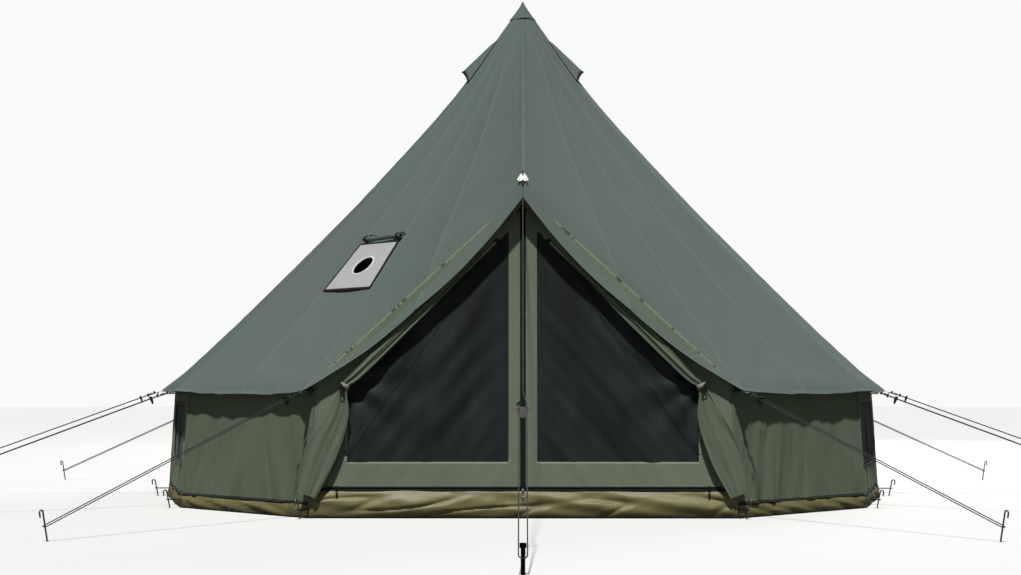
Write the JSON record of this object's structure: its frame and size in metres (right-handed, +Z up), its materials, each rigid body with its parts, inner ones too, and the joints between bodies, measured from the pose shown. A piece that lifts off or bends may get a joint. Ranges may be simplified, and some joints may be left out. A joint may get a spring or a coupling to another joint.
{
  "type": "bell tent",
  "caption": "Canvas bell tent with low walls, a centre pole and A-frame door, mesh door leaves, hooded roof vents, a stove-pipe port and pegged guy ropes.",
  "frame": {"origin": "centre of the tent on the ground, under the centre pole, on the underside of the groundsheet", "axes": "+Z up, door on the -Y side, +X to the right of a person who looks at the door from outside"},
  "size_m": [7.2668, 7.9364, 2.862],
  "materials": {
    "roof_canvas": "matte",
    "wall_canvas": "matte",
    "groundsheet": "satin",
    "insect_mesh": "matte",
    "black_tape": "matte",
    "fibreglass": "satin",
    "webbing": "matte",
    "rubber": "matte",
    "black_plastic": "satin",
    "pole_steel": "satin",
    "peg_steel": "satin",
    "stake_black": "satin",
    "plate_white": "satin",
    "zip_metal": "satin",
    "runner_metal": "satin",
    "runner_plastic": "satin",
    "rope": "matte"
  },
  "bodies": {
    "tent": {"groundsheet": "groundsheet", "groundsheet_zip": "black_tape", "wall_panels": "wall_canvas", "insect_screens": "insect_mesh", "roof_gores": "roof_canvas", "peak_cap": "roof_canvas", "vent_hoods": "roof_canvas", "stove_patch": "fibreglass", "stove_binding": "black_tape", "stove_flap": "roof_canvas", "toggles": "black_plastic", "door_surround": "wall_canvas", "outer_door_left": "roof_canvas", "outer_door_right": "roof_canvas", "pole_lower": "pole_steel", "pole_upper": "pole_steel", "pole_foot": "black_plastic", "pole_crown": "black_plastic", "a_frame_left": "pole_steel", "a_frame_right": "pole_steel", "a_frame_crown": "pole_steel", "a_frame_feet": "black_plastic", "eave_rings": "peg_steel", "webbing_loops": "webbing", "peg_bands": "rubber", "ground_pegs": "peg_steel", "guy_pegs": "peg_steel", "front_stake": "stake_black", "apex_plate": "plate_white", "guy_rope_front": "rope", "guy_rope_01": "rope", "guy_rope_02": "rope", "guy_rope_03": "rope", "guy_rope_04": "rope", "guy_rope_05": "rope", "guy_rope_06": "rope", "guy_rope_07": "rope", "guy_rope_08": "rope", "guy_rope_09": "rope", "guy_rope_10": "rope", "guy_rope_11": "rope"},
    "door_left": {"door_frame_left": "wall_canvas", "door_mesh_left": "insect_mesh"},
    "door_right": {"door_frame_right": "wall_canvas", "door_mesh_right": "insect_mesh"},
    "centre_zip_pull": {"zip_slider_centre": "zip_metal"},
    "left_zip_pull": {"zip_slider_left": "zip_metal"},
    "right_zip_pull": {"zip_slider_right": "zip_metal"},
    "front_runner": {"guy_runner_front": "runner_metal"},
    "runner_01": {"guy_runner_01": "runner_plastic"},
    "runner_02": {"guy_runner_02": "runner_plastic"},
    "runner_03": {"guy_runner_03": "runner_plastic"},
    "runner_04": {"guy_runner_04": "runner_plastic"},
    "runner_05": {"guy_runner_05": "runner_plastic"},
    "runner_06": {"guy_runner_06": "runner_plastic"},
    "runner_07": {"guy_runner_07": "runner_plastic"},
    "runner_08": {"guy_runner_08": "runner_plastic"},
    "runner_09": {"guy_runner_09": "runner_plastic"},
    "runner_10": {"guy_runner_10": "runner_plastic"},
    "runner_11": {"guy_runner_11": "runner_plastic"}
  },
  "joints": [
    {"name": "door_right_fold", "type": "hinge", "parent": "tent", "child": "door_right", "pos_m": [0.9505, -1.7548, 0.1398], "axis": [-0.5729, 0.0384, 0.8188], "range_deg": [0, 85]},
    {"name": "door_left_fold", "type": "hinge", "parent": "tent", "child": "door_left", "pos_m": [-0.9505, -1.7548, 0.1398], "axis": [-0.5729, -0.0384, -0.8188], "range_deg": [0, 85]},
    {"name": "centre_zip", "type": "slide", "parent": "door_right", "child": "centre_zip_pull", "axis": [0, 0.0468, 0.9989], "range_m": [0, 1.22]},
    {"name": "right_foot_zip", "type": "slide", "parent": "door_right", "child": "right_zip_pull", "axis": [-1, 0, 0], "range_m": [0, 0.8]},
    {"name": "left_foot_zip", "type": "slide", "parent": "door_left", "child": "left_zip_pull", "axis": [1, 0, 0], "range_m": [0, 0.8]},
    {"name": "front_runner_slide", "type": "slide", "parent": "tent", "child": "front_runner", "axis": [0, -0.8588, -0.5124], "range_m": [0, 0.6]},
    {"name": "runner_01_slide", "type": "slide", "parent": "tent", "child": "runner_01", "axis": [0.5382, -0.7728, -0.3363], "range_m": [0, 0.85]},
    {"name": "runner_02_slide", "type": "slide", "parent": "tent", "child": "runner_02", "axis": [0.8154, -0.4708, -0.3369], "range_m": [0, 0.85]},
    {"name": "runner_03_slide", "type": "slide", "parent": "tent", "child": "runner_03", "axis": [0.9415, 0, -0.3369], "range_m": [0, 0.85]},
    {"name": "runner_04_slide", "type": "slide", "parent": "tent", "child": "runner_04", "axis": [0.8154, 0.4708, -0.3369], "range_m": [0, 0.85]},
    {"name": "runner_05_slide", "type": "slide", "parent": "tent", "child": "runner_05", "axis": [0.4708, 0.8154, -0.3369], "range_m": [0, 0.85]},
    {"name": "runner_06_slide", "type": "slide", "parent": "tent", "child": "runner_06", "axis": [0, 0.9415, -0.3369], "range_m": [0, 0.85]},
    {"name": "runner_07_slide", "type": "slide", "parent": "tent", "child": "runner_07", "axis": [-0.4708, 0.8154, -0.3369], "range_m": [0, 0.85]},
    {"name": "runner_08_slide", "type": "slide", "parent": "tent", "child": "runner_08", "axis": [-0.8154, 0.4708, -0.3369], "range_m": [0, 0.85]},
    {"name": "runner_09_slide", "type": "slide", "parent": "tent", "child": "runner_09", "axis": [-0.9415, 0, -0.3369], "range_m": [0, 0.85]},
    {"name": "runner_10_slide", "type": "slide", "parent": "tent", "child": "runner_10", "axis": [-0.8154, -0.4708, -0.3369], "range_m": [0, 0.85]},
    {"name": "runner_11_slide", "type": "slide", "parent": "tent", "child": "runner_11", "axis": [-0.5382, -0.7728, -0.3363], "range_m": [0, 0.85]}
  ]
}
